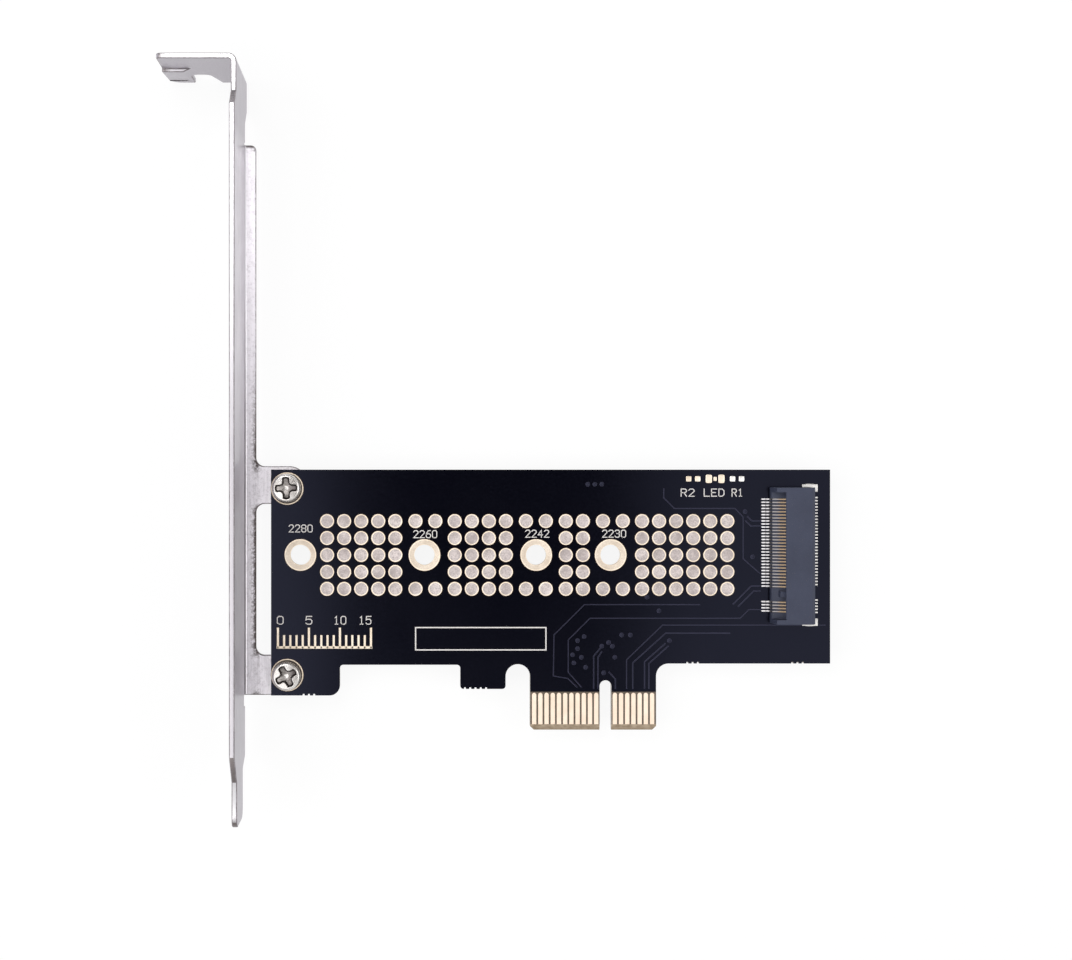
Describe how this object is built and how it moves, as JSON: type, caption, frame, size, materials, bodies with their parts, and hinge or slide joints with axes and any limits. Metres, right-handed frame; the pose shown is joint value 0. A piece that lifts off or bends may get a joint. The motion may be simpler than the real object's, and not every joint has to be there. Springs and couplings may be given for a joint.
{
  "type": "nvme adapter card",
  "caption": "Black adapter card that carries a flat M.2 solid-state drive in a narrow expansion slot, screwed to a full-height slot bracket.",
  "frame": {"origin": "centre of the edge connector's key notch, at the end edge of the tongue, in the middle of the board's thickness", "axes": "+Z out of the component side; +X from the bracket to the far end of the board; +Y from the edge connector to the opposite long edge, along the bracket"},
  "size_m": [0.1069, 0.12, 0.0216],
  "materials": {
    "solder_mask": "black solder mask over glass-epoxy laminate, satin",
    "gold_plate": "hard gold plate",
    "bare_land": "gold-washed copper land, matte speckle",
    "eyelet_plate": "gold plate",
    "nickel_steel": "bright nickel-plated sheet steel",
    "screw_steel": "nickel-plated steel",
    "housing_plastic": "dark blue-grey moulded liquid-crystal polymer",
    "contact_plate": "gold and tin plated bronze",
    "tin_plate": "tin-plated steel",
    "solder_land": "tinned copper land"
  },
  "bodies": {
    "root": {"circuit_board": "solder_mask", "edge_fingers_front": "gold_plate", "edge_fingers_back": "gold_plate", "thermal_lands": "bare_land", "standoff_eyelet_80": "eyelet_plate", "standoff_eyelet_60": "eyelet_plate", "standoff_eyelet_42": "eyelet_plate", "standoff_eyelet_30": "eyelet_plate", "upper_bracket_eyelet": "eyelet_plate", "lower_bracket_eyelet": "eyelet_plate", "slot_bracket": "nickel_steel", "bracket_screws": "screw_steel", "m2_housing": "housing_plastic", "m2_lower_contacts": "contact_plate", "m2_upper_contacts": "contact_plate", "m2_hold_downs": "tin_plate", "lamp_lands": "solder_land", "resistor_lands_near": "solder_land", "resistor_lands_far": "solder_land"}
  },
  "joints": []
}
